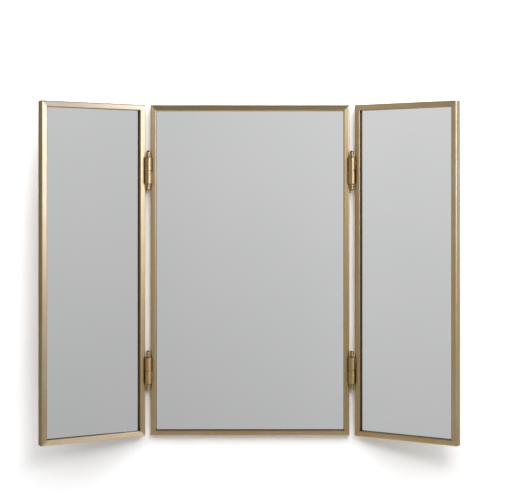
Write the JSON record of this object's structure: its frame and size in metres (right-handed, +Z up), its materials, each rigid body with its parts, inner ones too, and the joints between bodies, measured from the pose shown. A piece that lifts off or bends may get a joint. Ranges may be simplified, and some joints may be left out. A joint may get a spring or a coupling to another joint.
{
  "type": "three-panel folding wall mirror",
  "caption": "Wall-hung folding mirror: a wide middle panel with a hinged wing on each side, in slim mitred brass frames with barrel hinges and keyhole hangers.",
  "frame": {"origin": "midway between the two wall screws that the keyhole hangers take, on the wall's surface", "axes": "+X to the right as seen from the front, +Y into the wall, +Z up"},
  "size_m": [0.9328, 0.16, 0.762],
  "materials": {
    "frame_brass": "brushed, lightly aged",
    "hinge_brass": "turned, lightly aged",
    "pin_brass": "bright turned",
    "plate_brass": "rolled sheet",
    "screw_brass": "turned",
    "mirror": "silvered float glass",
    "felt": "pressed felt",
    "board": "oiled plywood",
    "rubber": "matte"
  },
  "bodies": {
    "middle": {"middle_left_stile": "frame_brass", "middle_top_rail": "frame_brass", "middle_right_stile": "frame_brass", "middle_bottom_rail": "frame_brass", "middle_mirror": "mirror", "middle_felt": "felt", "middle_backing_board": "board", "middle_board_screws": "screw_brass", "middle_wall_bumpers": "rubber", "left_hanger": "plate_brass", "right_hanger": "plate_brass", "hanger_screws": "screw_brass", "left_upper_frame_knuckle": "hinge_brass", "left_upper_hinge_pin": "pin_brass", "left_upper_washer": "pin_brass", "left_upper_bottom_tip": "hinge_brass", "left_lower_frame_knuckle": "hinge_brass", "left_lower_hinge_pin": "pin_brass", "left_lower_washer": "pin_brass", "left_lower_bottom_tip": "hinge_brass", "right_upper_frame_knuckle": "hinge_brass", "right_upper_hinge_pin": "pin_brass", "right_upper_washer": "pin_brass", "right_upper_bottom_tip": "hinge_brass", "right_lower_frame_knuckle": "hinge_brass", "right_lower_hinge_pin": "pin_brass", "right_lower_washer": "pin_brass", "right_lower_bottom_tip": "hinge_brass"},
    "left_wing": {"left_wing_left_stile": "frame_brass", "left_wing_top_rail": "frame_brass", "left_wing_right_stile": "frame_brass", "left_wing_bottom_rail": "frame_brass", "left_wing_mirror": "mirror", "left_wing_felt": "felt", "left_wing_backing_board": "board", "left_wing_board_screws": "screw_brass", "left_wing_wall_bumpers": "rubber", "left_upper_wing_knuckle": "hinge_brass", "left_upper_top_tip": "hinge_brass", "left_lower_wing_knuckle": "hinge_brass", "left_lower_top_tip": "hinge_brass"},
    "right_wing": {"right_wing_left_stile": "frame_brass", "right_wing_top_rail": "frame_brass", "right_wing_right_stile": "frame_brass", "right_wing_bottom_rail": "frame_brass", "right_wing_mirror": "mirror", "right_wing_felt": "felt", "right_wing_backing_board": "board", "right_wing_board_screws": "screw_brass", "right_wing_wall_bumpers": "rubber", "right_upper_wing_knuckle": "hinge_brass", "right_upper_top_tip": "hinge_brass", "right_lower_wing_knuckle": "hinge_brass", "right_lower_top_tip": "hinge_brass"}
  },
  "joints": [
    {"name": "left_wing_hinge", "type": "hinge", "parent": "middle", "child": "left_wing", "pos_m": [-0.2343, -0.026, -0.281], "axis": [0, 0, 1], "range_deg": [-32, 118]},
    {"name": "right_wing_hinge", "type": "hinge", "parent": "middle", "child": "right_wing", "pos_m": [0.2343, -0.026, -0.281], "axis": [0, 0, -1], "range_deg": [-32, 118]}
  ]
}
